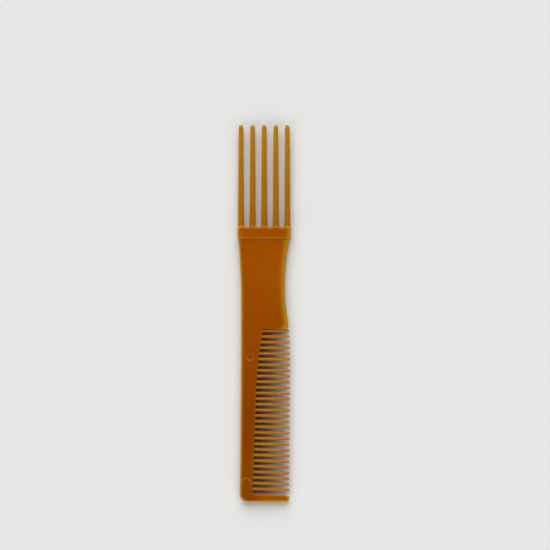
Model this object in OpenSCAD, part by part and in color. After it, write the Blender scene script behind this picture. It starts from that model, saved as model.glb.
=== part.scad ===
// Double-ended lift comb, moulded in one amber plastic. Long lifting prongs stand on a collar at one
// end. A waisted handle leads to a spine, which carries a row of fine teeth and ends in a thick guard.
// The comb lies flat. X runs across it towards the tooth tips, Y along it towards the prong tips and
// Z through its thickness. The origin is on the surface that it lies on, under the middle of its outline.

/* [Prongs] */
// Number of lifting prongs
prong_count = 5; // [3:1:6]
// Length of a prong from the collar to its tip
prong_len = 56.8; // [40:0.2:80]
// Width of a prong above its root fillets
prong_root_w = 3.5; // [2.8:0.1:3.8]
// Width of a prong where its tip starts to round off
prong_tip_w = 2.7; // [1.8:0.1:2.8]
// Thickness of a prong above its root fillets
prong_root_t = 3.6; // [2.6:0.1:4.4]
// Thickness of a prong where its tip starts to round off
prong_tip_t = 2.2; // [1.4:0.1:3]
// Radius of the fillets between neighbouring prongs
prong_fillet_r = 1.2; // [0.4:0.1:1.4]
// Length over which a prong's tip rounds off
prong_nose_len = 2; // [1:0.1:4]
// Step in from each end of the collar to the outer prongs
prong_inset = 0.15; // [0.1:0.05:0.6]

/* [Collar] */
// Width of the collar across the comb
collar_w = 29.6; // [27:0.1:34]
// Length of the collar along the comb
collar_len = 7; // [5:0.1:12]
// Thickness of the collar, the thickest part of the comb
collar_t = 6.4; // [5.8:0.1:7.6]
// Radius of the collar's edges beside the prongs
collar_edge_r = 0.6; // [0.3:0.1:0.8]
// Radius of the edges along the collar's two ends
collar_end_r = 0.8; // [0.4:0.1:1.2]
// Length of the slope on each face that leads down to the handle
collar_slope_len = 1.2; // [0.5:0.1:2]
// Drop of that slope on each face
collar_slope_drop = 0.5; // [0.2:0.1:0.8]

/* [Handle] */
// Length of the handle from the collar to the shoulder beside the first tooth
handle_len = 49.8; // [40:0.2:90]
// Thickness of the handle, the spine and the root of the end guard
body_t = 4.8; // [4:0.1:5.4]
// Reach of the rounded edges in from the sides
edge_r = 2; // [1:0.1:2.4]
// Step in from the collar's left end to the handle
neck_step_left = 0.3; // [0.2:0.1:1.5]
// Step in from the collar's right end to the handle
neck_step_right = 0.6; // [0.2:0.1:2]
// Length of the curve that narrows the left side below the collar
neck_curve_left = 36; // [20:0.5:44]
// Length of the curve that narrows the right side below the collar
neck_curve_right = 26; // [14:0.5:32]
// Distance from the centreline to the left side of the waist
waist_left = 12.9; // [10:0.1:13.6]
// Distance from the centreline to the right side of the waist
waist_right = 11.6; // [8:0.1:12.8]
// Distance from the centreline to the right side at the shoulder
hip_right = 13.4; // [11:0.1:14.2]
// Length of the curve that widens the right side down to the shoulder
hip_curve_len = 20; // [10:0.5:24]
// Radius of the corner where the right side meets the shoulder
hip_corner_r = 1; // [0.4:0.1:2]
// Size of the bevel along the shoulder and along the guard's inner edge
inner_bevel = 0.7; // [0.3:0.1:1]

/* [Spine] */
// Distance from the centreline to the left side at the foot of the comb
foot_left = 13.7; // [12:0.1:14.6]
// Width of the spine at the shoulder, without its heel
spine_head_w = 9.4; // [7:0.1:11]
// Width of the spine at the end guard
spine_foot_w = 7.1; // [5.5:0.1:9]
// Width that the heel adds to the spine at the shoulder
heel_w = 2.9; // [0.5:0.1:5]
// Length of the heel's curve along the spine
heel_len = 36; // [10:0.5:60]
// Width of the slope from the spine's faces down to the tooth roots
root_slope_w = 1.5; // [0.6:0.1:2]
// Thickness of the spine's inner edge and of the teeth at their roots
root_t = 3.4; // [2.6:0.1:3.8]
// Radius of the two round moulding marks on the spine's upper face
mark_r = 2.1; // [1.5:0.1:2.2]
// Depth of the moulding marks
mark_depth = 0.15; // [0.05:0.05:0.4]
// Distance from the shoulder to the first moulding mark
mark_from_shoulder = 15.4; // [10:0.2:30]
// Distance from the foot of the comb to the second moulding mark
mark_from_foot = 11.4; // [8:0.2:30]

/* [Teeth] */
// Number of fine teeth
tooth_count = 29; // [15:1:31]
// Distance from one tooth to the next
tooth_pitch = 3.14; // [2.4:0.02:3.6]
// Width of a tooth at its root
tooth_root_w = 1.5; // [1:0.05:1.8]
// Width of a tooth where its tip starts to round off
tooth_tip_w = 1.3; // [0.8:0.05:1.5]
// Thickness of a tooth where its tip starts to round off
tooth_tip_t = 1.6; // [1:0.05:2.4]
// Length over which a tooth's tip rounds off
tooth_nose_len = 1.2; // [0.5:0.1:2]
// Slot between the shoulder and the first tooth
first_slot = 0.45; // [0.3:0.05:2.5]
// Slot between the last tooth and the end guard
last_slot = 1.9; // [1:0.05:3]
// Distance from the centreline to the tip of the longest tooth
tip_crest = 14.6; // [10:0.1:14.8]
// How much the tip line falls back at the shoulder
tip_lead_drop = 0.6; // [0:0.1:2]
// Length along which the tip line rises from the shoulder
tip_lead_len = 22; // [10:0.5:36]
// How much the tip line falls back at the end guard
tip_trail_drop = 0.5; // [0:0.1:2]
// How far the last tooth's tip leans towards the foot, each tooth before it leaning a little less
tooth_lean = 0.8; // [0:0.1:1]

/* [End guard] */
// Width of the end guard at its root
guard_w = 4.7; // [4.2:0.1:8]
// How far the guard's inner edge falls away from the last tooth towards the tip
guard_tip_drop = 1.3; // [1:0.1:1.6]
// Thickness of the guard at its tip
guard_tip_t = 2.8; // [2:0.1:4]
// Radius of the outer corner below the spine
guard_corner_r = 3; // [2.2:0.1:3.2]
// Radius of the outer corner at the guard's tip
guard_tip_r = 2.2; // [1:0.1:3]
// Reach of the rounding along the guard's tip
guard_nose_len = 1.4; // [0.6:0.1:2]

/* [Hidden] */
// Overrun of every cut past the face that it opens
over = 1;
// Thickness left flat where an end rounds off, as a share of the full size
land_share = 0.22;
// Power of the squared-off ovals that the prongs and teeth have in section
section_power = 2.5;
// Points around a prong
prong_points = 16;
// Points around a tooth
tooth_points = 12;
// Facets around a rounded edge
edge_facets = 10;
// Rings along the handle above its shoulder corner
handle_rings = 16;
// Rings around a root fillet
fillet_rings = 4;
// Rings along the nose of a prong or a tooth
nose_rings = 5;
// Rings along a rounded corner
corner_rings = 6;
// Facets of a true circle
round_fn = 64;

// Colours of the plastic: deep where it is thick, lighter where it is thin
deep_amber = "#964b02";
mid_amber = "#a65606";
light_amber = "#b57a1c";

// Lengths of the tooth row and of the whole comb
row_len = first_slot + (tooth_count - 1) * tooth_pitch + tooth_root_w + last_slot;
comb_len = prong_len + collar_len + handle_len + row_len + guard_w;

// Places along the comb, from the prong tips down to its foot
tip_y = comb_len / 2;
collar_top_y = tip_y - prong_len;
collar_low_y = collar_top_y - collar_len;
shoulder_y = collar_low_y - handle_len;
guard_top_y = shoulder_y - row_len;
foot_y = guard_top_y - guard_w;
waist_y = collar_low_y - neck_curve_left;

// Height of the plane that the comb is symmetric about
mid_z = collar_t / 2;

// Widths that follow from the collar
neck_left = collar_w / 2 - neck_step_left;
neck_right = collar_w / 2 - neck_step_right;
prong_pitch = (collar_w - 2 * prong_inset - prong_root_w) / (prong_count - 1);
prong_fillet = min(prong_fillet_r, (prong_pitch - prong_root_w) / 2);
prong_fillet_t = min(prong_fillet, (collar_t - prong_root_t) / 2 - collar_edge_r);

// Falls from 1 to 0 over a length and runs out tangentially
function flare(dist, length) = pow(1 - min(max(dist, 0) / length, 1), 2);

// Rises from 0 to 1 over a length in an even S
function rise(dist, length) = (1 - cos(180 * min(max(dist, 0) / length, 1))) / 2;

// Share of the full size at a distance from a rounded end, down to a small flat land
function round_off(dist, length) =
    sqrt(1 - (1 - pow(land_share, 2)) * pow(1 - min(dist / length, 1), 2));

// Distances from a rounded end at which its rings lie, the farthest first
function end_dists(length, rings) = [for (k = [0 : rings]) length * (1 - sin(90 * k / rings))];

// How far a corner of radius r draws a side in at a distance from the end
function corner_in(dist, r) = dist < r ? r - sqrt(pow(r, 2) - pow(r - dist, 2)) : 0;

// Left side of the handle and the spine
function left_x(y) = -waist_left
    - (neck_left - waist_left) * flare(collar_low_y - y, neck_curve_left)
    - (foot_left - waist_left) * flare(y - foot_y, waist_y - foot_y);

// Right side of the handle
function right_x(y) = waist_right
    + (neck_right - waist_right) * flare(collar_low_y - y, neck_curve_right)
    + (hip_right - waist_right) * (1 - rise(y - shoulder_y, hip_curve_len))
    - corner_in(y - shoulder_y, hip_corner_r);

// Middle of a tooth's root along the comb, the first tooth being the one beside the shoulder
function tooth_y(i) = shoulder_y - first_slot - tooth_root_w / 2 - (i - 1) * tooth_pitch;

// Stations along the spine: its two ends and the middle of each gap between two teeth
spine_ys = concat(
    [shoulder_y],
    [for (i = [1 : tooth_count - 1]) (tooth_y(i) + tooth_y(i + 1)) / 2],
    [guard_top_y]
);

// Curve of the tooth roots, and the straight lengths of it between the spine's stations
function root_curve(y) = left_x(y)
    + spine_head_w
    + (spine_foot_w - spine_head_w) * (shoulder_y - y) / row_len
    + heel_w * flare(shoulder_y - y, heel_len);
root_line = [for (y = spine_ys) [y, root_curve(y)]];
function root_x(y) = lookup(y, root_line);

// Line of the tooth tips
function tip_x(y) = tip_crest
    - tip_lead_drop * flare(shoulder_y - y, tip_lead_len)
    - tip_trail_drop * rise(shoulder_y - tip_lead_len - y, row_len - tip_lead_len);

// How far the tip of tooth i leans towards the foot
function lean(i) = tooth_lean * (i - 1) / (tooth_count - 1);

// Ends of the guard's inner edge across the comb, and the angle at which it slants
guard_knee_x = root_x(guard_top_y);
guard_tip_x = tip_x(guard_top_y);
guard_slant = atan(guard_tip_drop / (guard_tip_x - guard_knee_x));

// Point of a squared-off oval with half sizes a and b, at a turn in degrees
function oval_point(a, b, turn) = [
    a * sign(cos(turn)) * pow(abs(cos(turn)), 2 / section_power),
    b * sign(sin(turn)) * pow(abs(sin(turn)), 2 / section_power)
];

// Squared-off oval as a ring of points
function oval(a, b, points) = [for (i = [0 : points - 1]) oval_point(a, b, 360 * i / points)];

// Rounded right-hand edge at x, from the upper face round to the lower one
function edge_arc(x, reach, t) = [
    for (i = [0 : edge_facets])
        let (turn = 180 * i / edge_facets)
        [x - reach * (1 - sin(turn)), t / 2 * cos(turn)]
];

// Rounded left-hand edge at x, from the lower face round to the upper one
function left_edge_arc(x, reach, t) = [for (p = edge_arc(-x, reach, t)) [-p[0], -p[1]]];

// Section of the comb across Y, from points of X and height above the middle plane
function across(y, section) = [for (p = section) [p[0], y, mid_z + p[1]]];

// Section of the handle
function handle_ring(y) = across(y, concat(
    edge_arc(right_x(y), edge_r, body_t),
    left_edge_arc(left_x(y), edge_r, body_t)
));

// Section of the spine: a rounded back, two faces, and slopes down to the edge with the teeth
function spine_ring(y) = across(y, concat(
    [
        [root_x(y) - root_slope_w, body_t / 2],
        [root_x(y), root_t / 2],
        [root_x(y), -root_t / 2],
        [root_x(y) - root_slope_w, -body_t / 2]
    ],
    left_edge_arc(left_x(y), edge_r, body_t)
));

// Section of the end guard at a distance from the foot, thinner from the tooth roots to the tip
function guard_ring(dist) =
    let (
        y = guard_top_y - (guard_w - dist),
        share = round_off(dist, edge_r),
        low_x = left_x(y) + corner_in(dist, guard_corner_r),
        high_x = guard_tip_x - corner_in(dist, guard_tip_r)
    )
    across(y, concat(
        [[guard_knee_x, share * body_t / 2]],
        edge_arc(high_x, guard_nose_len, share * guard_tip_t),
        [[guard_knee_x, -share * body_t / 2]],
        left_edge_arc(low_x, edge_r, share * body_t)
    ));

// Section of prong i at a distance from the collar. Only its sides that face a neighbour flare out.
function prong_ring(i, dist, flare_share) =
    let (
        taper_share = min(dist / (prong_len - prong_nose_len), 1),
        end_share = round_off(prong_len - dist, prong_nose_len),
        half_w = end_share * (prong_root_w + (prong_tip_w - prong_root_w) * taper_share) / 2,
        half_t = end_share * (prong_root_t + (prong_tip_t - prong_root_t) * taper_share) / 2,
        flare_w = prong_fillet * flare_share,
        low = -half_w - (i > 1 ? flare_w : 0),
        high = half_w + (i < prong_count ? flare_w : 0),
        centre_x = (i - (prong_count + 1) / 2) * prong_pitch + (low + high) / 2
    )
    [
        for (p = oval((high - low) / 2, half_t + prong_fillet_t * flare_share, prong_points))
            [centre_x + p[0], collar_top_y + dist, mid_z + p[1]]
    ];

// Section of a tooth at a distance from its tip
function tooth_ring(i, dist) =
    let (
        tip = tip_x(tooth_y(i)),
        root = root_x(tooth_y(i)),
        x = tip - dist,
        y = tooth_y(i) - lean(i) * (x - root) / (tip - root),
        reach = tip - tooth_nose_len - root,
        taper_share = min(max((dist - tooth_nose_len) / reach, 0), 1),
        end_share = round_off(dist, tooth_nose_len),
        half_w = end_share * (tooth_tip_w + (tooth_root_w - tooth_tip_w) * taper_share) / 2,
        half_t = end_share * (tooth_tip_t + (root_t - tooth_tip_t) * taper_share) / 2
    )
    [for (p = oval(half_w, half_t, tooth_points)) [x, y + p[0], mid_z + p[1]]];

// Root of a tooth, laid on the spine's inner edge
function tooth_root_ring(i) = [
    for (p = oval(tooth_root_w / 2, root_t / 2, tooth_points))
        [root_x(tooth_y(i) + p[0]), tooth_y(i) + p[0], mid_z + p[1]]
];

// Closed solid through a row of rings that all have the same number of points
module skin(rings) {
    n = len(rings[0]);
    last = len(rings) - 1;
    walls = [
        for (r = [0 : last - 1], i = [0 : n - 1])
            let (j = (i + 1) % n, a = r * n, b = a + n)
            each [[a + i, b + j, a + j], [a + i, b + i, b + j]]
    ];
    first_cap = [for (i = [0 : n - 1]) i];
    last_cap = [for (i = [n - 1 : -1 : 0]) last * n + i];
    polyhedron(points = [for (ring = rings) each ring], faces = concat(walls, [first_cap, last_cap]));
}

// Wedges that bevel both edges of a face across Y, from x towards the tips, the face being turned
// by slant towards the foot. The side is 1 where the material lies above the face along the comb,
// and -1 where it lies below.
module edge_bevels(x, y, side, slant) {
    reach = collar_w;
    for (face = [-1, 1])
        translate([x, y, mid_z])
            rotate([90, 0, 90 - slant])
                linear_extrude(height = reach)
                    polygon([
                        [side * (inner_bevel + over), face * (body_t / 2 + over)],
                        [-side * over, face * (body_t / 2 - inner_bevel - over)],
                        [-side * over, face * (body_t / 2 + over)]
                    ]);
}

// Rectangle around the origin with round corners
module soft_rect(w, h, r) {
    square([w - 2 * r, h], center = true);
    square([w, h - 2 * r], center = true);
    for (x = [-1, 1], y = [-1, 1])
        translate([x * (w / 2 - r), y * (h / 2 - r)])
            circle(r = r, $fn = round_fn);
}

// Side view of the collar: rounded beside the prongs, sloped beside the handle
module collar_side() {
    half_t = collar_t / 2;
    polygon([
        [collar_low_y, collar_slope_drop - half_t],
        [collar_low_y + collar_slope_len, -half_t],
        [collar_top_y - collar_edge_r, -half_t],
        [collar_top_y - collar_edge_r, half_t],
        [collar_low_y + collar_slope_len, half_t],
        [collar_low_y, half_t - collar_slope_drop]
    ]);
    translate([collar_low_y + collar_slope_len, collar_edge_r - half_t])
        square([collar_len - collar_slope_len, collar_t - 2 * collar_edge_r]);
    for (face = [-1, 1])
        translate([collar_top_y - collar_edge_r, face * (half_t - collar_edge_r)])
            circle(r = collar_edge_r, $fn = round_fn);
}

// Thick band that carries the prongs
module collar() {
    color(mid_amber)
        intersection() {
            translate([-collar_w / 2, 0, mid_z])
                rotate([90, 0, 90])
                    linear_extrude(height = collar_w) collar_side();
            translate([0, collar_top_y + over, mid_z])
                rotate([90, 0, 0])
                    linear_extrude(height = collar_len + 2 * over)
                        soft_rect(collar_w, collar_t, collar_end_r);
        }
}

// Prong i, counted from the left
module lift_prong(i) {
    fillet = [
        for (k = [0 : fillet_rings])
            let (turn = 90 * k / fillet_rings)
            prong_ring(i, prong_fillet * (1 - cos(turn)), 1 - sin(turn))
    ];
    nose = [for (dist = end_dists(prong_nose_len, nose_rings)) prong_ring(i, prong_len - dist, 0)];
    color(light_amber) skin(concat(fillet, nose));
}

// Waisted grip between the collar and the shoulder
module handle() {
    corner = end_dists(hip_corner_r, corner_rings);
    shaft_len = handle_len - hip_corner_r;
    shaft = [for (k = [1 : handle_rings]) hip_corner_r + shaft_len * k / handle_rings];
    dists = concat([for (k = [corner_rings : -1 : 0]) corner[k]], shaft);
    color(deep_amber)
        difference() {
            skin([for (dist = dists) handle_ring(shoulder_y + dist)]);
            edge_bevels(root_x(shoulder_y), shoulder_y, 1, 0);
        }
}

// Back of the comb beside the teeth, with two shallow moulding marks on its upper face
module spine() {
    color(deep_amber)
        difference() {
            skin([for (k = [len(spine_ys) - 1 : -1 : 0]) spine_ring(spine_ys[k])]);
            for (y = [shoulder_y - mark_from_shoulder, foot_y + mark_from_foot])
                translate([(left_x(y) + root_x(y)) / 2, y, mid_z + body_t / 2 - mark_depth])
                    cylinder(r = mark_r, h = mark_depth + over, $fn = round_fn);
        }
}

// Tooth i, counted from the shoulder
module comb_tooth(i) {
    nose = [for (dist = end_dists(tooth_nose_len, nose_rings)) tooth_ring(i, dist)];
    color(light_amber) skin(concat([tooth_root_ring(i)], nose));
}

// Space between the last tooth and the guard's slanting inner edge
module guard_slot() {
    reach_share = 1 + over / (guard_tip_x - guard_knee_x);
    translate([guard_knee_x, guard_top_y, mid_z - body_t / 2 - over])
        linear_extrude(height = body_t + 2 * over)
            polygon([
                [0, 0],
                reach_share * [guard_tip_x - guard_knee_x, -guard_tip_drop],
                [guard_tip_x - guard_knee_x + over, over],
                [0, over]
            ]);
}

// Thick last tooth that closes the comb and protects the fine ones
module end_guard() {
    corner = end_dists(guard_corner_r, corner_rings);
    color(mid_amber)
        difference() {
            skin([for (k = [corner_rings : -1 : -1]) guard_ring(k < 0 ? guard_w : corner[k])]);
            guard_slot();
            edge_bevels(guard_knee_x + inner_bevel * tan(guard_slant), guard_top_y, -1, guard_slant);
        }
}

// Names of the prongs and the teeth
function prong_name(i) = str("lift_prong_", i);
function tooth_name(i) = str("tooth_", i < 10 ? "0" : "", i);

handle();
collar();
spine();
end_guard();
for (i = [1 : prong_count])
    lift_prong(i);
for (i = [1 : tooth_count])
    comb_tooth(i);
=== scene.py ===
"""Dresses a double-ended lift comb, moulded in one translucent amber plastic.

The packed model is the frame. Its prongs, collar, handle, spine, fine teeth and end guard are made
again here with softer edges, fillets between the teeth and a plastic that lightens where it is thin,
with painted highlights and painted shade in places.
"""

import math

import bmesh
import bpy
import numpy as np
from bpy.props import FloatProperty, FloatVectorProperty, PointerProperty
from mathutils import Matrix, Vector
from mathutils.geometry import delaunay_2d_cdt


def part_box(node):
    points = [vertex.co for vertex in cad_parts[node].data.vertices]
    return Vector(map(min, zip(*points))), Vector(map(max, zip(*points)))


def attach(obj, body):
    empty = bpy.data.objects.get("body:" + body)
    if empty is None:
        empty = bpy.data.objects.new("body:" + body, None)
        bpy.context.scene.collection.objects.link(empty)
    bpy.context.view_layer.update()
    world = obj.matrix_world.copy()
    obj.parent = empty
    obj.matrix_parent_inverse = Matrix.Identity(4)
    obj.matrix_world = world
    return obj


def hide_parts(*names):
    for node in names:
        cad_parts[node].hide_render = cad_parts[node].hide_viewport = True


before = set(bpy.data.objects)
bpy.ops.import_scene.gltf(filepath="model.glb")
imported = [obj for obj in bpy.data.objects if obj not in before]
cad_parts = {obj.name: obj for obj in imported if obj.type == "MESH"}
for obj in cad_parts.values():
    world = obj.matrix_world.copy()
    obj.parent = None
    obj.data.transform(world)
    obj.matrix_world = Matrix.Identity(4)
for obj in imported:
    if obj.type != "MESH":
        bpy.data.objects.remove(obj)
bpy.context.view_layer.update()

bl_info = {
    "name": "Lift Comb",
    "version": (1, 0, 0),
    "blender": (4, 5, 0),
    "location": "3D View > Sidebar > Comb",
    "description": "Builds a double-ended lift comb around its packed model, with its stage",
    "category": "Add Mesh",
}

MM = 0.001

# Places on the comb, its main sizes and its pieces, as the packed model has them
COLLAR_TOP_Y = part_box("collar")[1].y
COLLAR_LOW_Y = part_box("collar")[0].y
SHOULDER_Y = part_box("handle")[0].y
GUARD_TOP_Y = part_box("spine")[0].y
FOOT_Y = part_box("end_guard")[0].y
GUARD_TIP_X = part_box("end_guard")[1].x
COLLAR_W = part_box("collar")[1].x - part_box("collar")[0].x
COLLAR_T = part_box("collar")[1].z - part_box("collar")[0].z
BODY_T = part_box("handle")[1].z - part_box("handle")[0].z
MID_Z = (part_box("collar")[1].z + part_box("collar")[0].z) / 2
ROW_LEN = SHOULDER_Y - GUARD_TOP_Y
PRONGS = sorted(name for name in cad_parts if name.startswith("lift_prong_"))
TEETH = sorted(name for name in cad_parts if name.startswith("tooth_"))


def size(name, value, text, least=0.0):
    """Property for a length, given in millimetres."""
    return FloatProperty(
        name=name, description=text, default=value * MM, min=least * MM, unit="LENGTH", precision=5
    )


def colour(name, value, text):
    """Property for a colour, given as linear red, green and blue."""
    return FloatVectorProperty(
        name=name, description=text, default=value, size=3, min=0.0, max=1.0, subtype="COLOR"
    )


def fraction(name, value, text):
    """Property for a share from 0 to 1."""
    return FloatProperty(name=name, description=text, default=value, min=0.0, max=1.0, subtype="FACTOR")


def brightness(name, value, text):
    """Property for the strength of a light."""
    return FloatProperty(name=name, description=text, default=value, min=0.0)


# Sizes and colours


class CombBackSizes(bpy.types.PropertyGroup):
    """Sizes of the handle, the spine and the end guard."""

    edge_reach: size("Edge reach", 2.0, "Reach of the rounded edges in from the sides")
    parting_land: size("Parting line", 0.2, "Width of the band left on the edges where the mould parts")
    neck_step_left: size("Left neck step", 0.3, "Step in from the collar's left end to the handle")
    neck_step_right: size("Right neck step", 0.6, "Step in from the collar's right end to the handle")
    neck_curve_left: size("Left neck curve", 36.0, "Length of the curve below the collar on the left")
    neck_curve_right: size("Right neck curve", 26.0, "Length of the curve below the collar on the right")
    waist_left: size("Left waist", 12.9, "From the centreline to the left side of the waist")
    waist_right: size("Right waist", 11.6, "From the centreline to the right side of the waist")
    hip_right: size("Hip", 13.4, "From the centreline to the right side at the shoulder")
    hip_curve: size("Hip curve", 20.0, "Length of the curve that widens down to the shoulder")
    hip_corner: size("Hip corner", 1.0, "Radius of the corner between the right side and the shoulder")
    foot_left: size("Foot", 13.7, "From the centreline to the left side at the foot")
    spine_head: size("Spine head", 9.4, "Width of the spine at the shoulder, without its heel")
    spine_foot: size("Spine foot", 7.1, "Width of the spine at the end guard")
    heel: size("Heel", 2.9, "Width that the heel adds to the spine at the shoulder")
    heel_curve: size("Heel curve", 36.0, "Length of the heel's curve along the spine")
    root_slope: size("Root slope", 1.5, "Width of the slope from the faces down to the tooth roots")
    inner_bevel: size("Inner bevel", 0.7, "Width of the bevel on the shoulder and the guard")
    root_t: size("Inner edge thickness", 3.4, "Thickness of the comb's back where the teeth start")
    lip: size("Lip radius", 0.25, "Radius of the lip between a slope and the inner edge")
    guard_drop: size("Guard slant", 1.3, "Fall of the guard's inner edge towards its tip")
    guard_corner: size("Foot corner", 4.2, "Radius of the outer corner below the spine")
    guard_tip_corner: size("Guard corner", 2.2, "Radius of the outer corner at the guard's tip")
    guard_inner_corner: size("Guard tip corner", 0.9, "Radius of the guard's corner beside the teeth")
    guard_nose: size("Guard nose", 1.4, "Reach of the rounding along the guard's tip")
    guard_tip_t: size("Guard tip thickness", 2.8, "Thickness of the guard at its tip")
    gullet: size("Gullet radius", 0.8, "Radius of the corner between the spine and the guard")
    mark_r: size("Mark radius", 2.1, "Radius of the two round moulding marks")
    mark_depth: size("Mark depth", 0.18, "Depth of the moulding marks")
    mark_wall: size("Mark wall", 0.45, "Width of the slope around a moulding mark")
    mark_head: size("First mark", 15.4, "Distance from the shoulder to the first moulding mark")
    mark_foot: size("Second mark", 11.4, "Distance from the foot to the second moulding mark")
    rim_width: size("Rim", 1.7, "Width of the rim in which the plastic lightens")
    rim_right: size("Right rim", 3.9, "Width of that rim on the handle's right side")


class CollarSizes(bpy.types.PropertyGroup):
    """Sizes of the thick band that carries the prongs."""

    edge_r: size("Edge radius", 1.2, "Radius of the edges beside the prongs")
    end_r: size("End radius", 0.8, "Radius of the edges along the collar's two ends")
    slope: size("Slope length", 1.2, "Length of the slope down to the handle on each face")
    slope_drop: size("Slope drop", 0.62, "Drop of that slope on each face")
    low_r: size("Low edge radius", 0.15, "Radius of the edges beside the handle")
    scallop: size("Scallop", 0.9, "Rise of the collar's top edge at the middle of each prong")


class ProngSizes(bpy.types.PropertyGroup):
    """Sizes of the long lifting prongs."""

    root_w: size("Root width", 3.5, "Width of a prong above its root fillets")
    tip_w: size("Tip width", 2.7, "Width of a prong where its nose starts")
    root_t: size("Root thickness", 3.6, "Thickness of a prong above its root fillets")
    tip_t: size("Tip thickness", 2.2, "Thickness of a prong where its nose starts")
    fillet: size("Fillet radius", 1.2, "Radius of the fillets between neighbouring prongs")
    fillet_t: size("Face fillet", 0.9, "Rise of the root fillet on the prong's two faces")
    nose: size("Nose length", 2.0, "Length over which a prong's tip rounds off")
    inset: size("Inset", 0.15, "Step in from each end of the collar to the outer prongs")
    sunk: size("Sunk length", 0.8, "Length of a prong's root inside the collar")


class ToothSizes(bpy.types.PropertyGroup):
    """Sizes of the row of fine teeth."""

    root_w: size("Root width", 1.6, "Width of a tooth at its root")
    tip_w: size("Tip width", 1.45, "Width of a tooth where its nose starts")
    tip_t: size("Tip thickness", 1.6, "Thickness of a tooth where its nose starts")
    nose: size("Nose length", 1.2, "Length over which a tooth's tip rounds off")
    pitch: size("Pitch", 3.14, "Distance from one tooth to the next at their roots")
    first_slot: size("First slot", 0.40, "Slot between the shoulder and the first tooth")
    lean: size("Lean", 0.8, "How far the last tooth's tip leans towards the foot")
    fillet: size("Fillet radius", 0.45, "Radius of the fillets between the tooth roots")


class PlasticLook(bpy.types.PropertyGroup):
    """Colours and finish of the amber plastic."""

    deep: colour("Deep amber", (0.385, 0.088, 0.0006), "Colour of the handle, where it is thick")
    # The low amber is painted shade that darkens the comb towards its foot
    low: colour("Foot shade amber", (0.285, 0.058, 0.0006), "Colour of the plastic near the foot, darkened as painted shade")
    collar: colour("Collar amber", (0.400, 0.088, 0.0006), "Colour of the collar")
    prong: colour("Prong amber", (0.410, 0.150, 0.0020), "Colour of the prongs along their middle")
    # The teeth's flank and crest colours are painted shade and painted light: darker on the flanks, lighter
    # along the tops
    shaded_flank: colour("Shaded flank amber", (0.360, 0.118, 0.0035), "Colour of the teeth on their flanks")
    lit_crest: colour("Lit crest amber", (0.400, 0.218, 0.0140), "Colour of the teeth along their tops")
    thin: colour("Thin amber", (0.480, 0.260, 0.0100), "Colour of the plastic at its thinnest")
    glint: colour("Glint", (1.0, 0.78, 0.46), "Tint of the highlights")
    soak: fraction("Light soak", 0.85, "Share of the light that soaks into the plastic")
    shine: fraction("Roughness", 0.18, "Roughness of the moulded surface")


class StageLook(bpy.types.PropertyGroup):
    """Floor, lights and camera."""

    floor: colour("Floor", (0.82, 0.82, 0.81), "Colour of the floor")
    floor_size: size("Floor size", 6000.0, "Width of the floor")
    view_width: size("View width", 306.4, "Width of what the camera sees at the comb")
    view_x: size("View across", 6.0, "Place of the picture's middle across the comb", -100.0)
    view_y: size("View along", 21.4, "Place of the picture's middle along the comb", -100.0)
    distance: size("Camera distance", 1500.0, "Height of the camera above the comb")
    key: brightness("Key light", 2.75, "Strength of the light from beyond the prongs")
    left: brightness("Left light", 1.3, "Strength of the light from beyond the foot on the left")
    right: brightness("Right light", 1.0, "Strength of the light from beyond the foot on the right")
    sky: brightness("Sky", 0.14, "Strength of the light from low all around")


GROUPS = {
    "comb_back": CombBackSizes,
    "comb_collar": CollarSizes,
    "comb_prongs": ProngSizes,
    "comb_teeth": ToothSizes,
    "comb_plastic": PlasticLook,
    "comb_stage": StageLook,
}


# Curves of the comb's outline, the same as in the packed model


def flare(distance, length):
    """Falls from 1 to 0 over a length and runs out tangentially."""
    return (1 - min(max(distance, 0) / length, 1)) ** 2


def rise(distance, length):
    """Rises from 0 to 1 over a length in an even S."""
    return (1 - math.cos(math.pi * min(max(distance, 0) / length, 1))) / 2


def left_x(back, y):
    """Left side of the handle and the spine."""
    neck = COLLAR_W / 2 - back.neck_step_left
    waist_y = COLLAR_LOW_Y - back.neck_curve_left
    return (
        -back.waist_left
        - (neck - back.waist_left) * flare(COLLAR_LOW_Y - y, back.neck_curve_left)
        - (back.foot_left - back.waist_left) * flare(y - FOOT_Y, waist_y - FOOT_Y)
    )


def right_x(back, y):
    """Right side of the handle."""
    neck = COLLAR_W / 2 - back.neck_step_right
    return (
        back.waist_right
        + (neck - back.waist_right) * flare(COLLAR_LOW_Y - y, back.neck_curve_right)
        + (back.hip_right - back.waist_right) * (1 - rise(y - SHOULDER_Y, back.hip_curve))
    )


def root_x(back, y):
    """Line of the tooth roots."""
    below = SHOULDER_Y - y
    return (
        left_x(back, y)
        + back.spine_head
        + (back.spine_foot - back.spine_head) * below / ROW_LEN
        + back.heel * flare(below, back.heel_curve)
    )


def guard_inner_y(back, x):
    """Inner edge of the end guard, which slants away from the last tooth."""
    knee = root_x(back, GUARD_TOP_Y)
    return GUARD_TOP_Y - back.guard_drop * (x - knee) / (GUARD_TIP_X - knee)


# Plain mesh work

# Widest bend shaded smooth, steps in a quarter turn, width of a softened crease, and next to nothing
SHARP_ANGLE = math.radians(38)
ARC_STEPS = 7
CREASE = 0.2 * MM
TINY = 1e-9


def placed(name, data):
    """New object of a mesh, a lamp or a lens in the scene."""
    item = bpy.data.objects.new(name, data)
    bpy.context.scene.collection.objects.link(item)
    return item


def finished(name, mesh, material, slot, *nodes):
    """Puts a finished mesh into the scene, riding on the comb and standing for its CAD nodes."""
    mesh.materials.clear()
    mesh.materials.append(material)
    mesh.shade_smooth()
    mesh.set_sharp_from_angle(angle=SHARP_ANGLE)
    piece = placed(name, mesh)
    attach(piece, "root")
    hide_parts(*nodes)


def around(centre, radius, turns, *rest):
    """Points around a centre at some angles, each followed by the same numbers."""
    return [(centre[0] + radius * math.cos(t), centre[1] + radius * math.sin(t), *rest) for t in turns]


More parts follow.
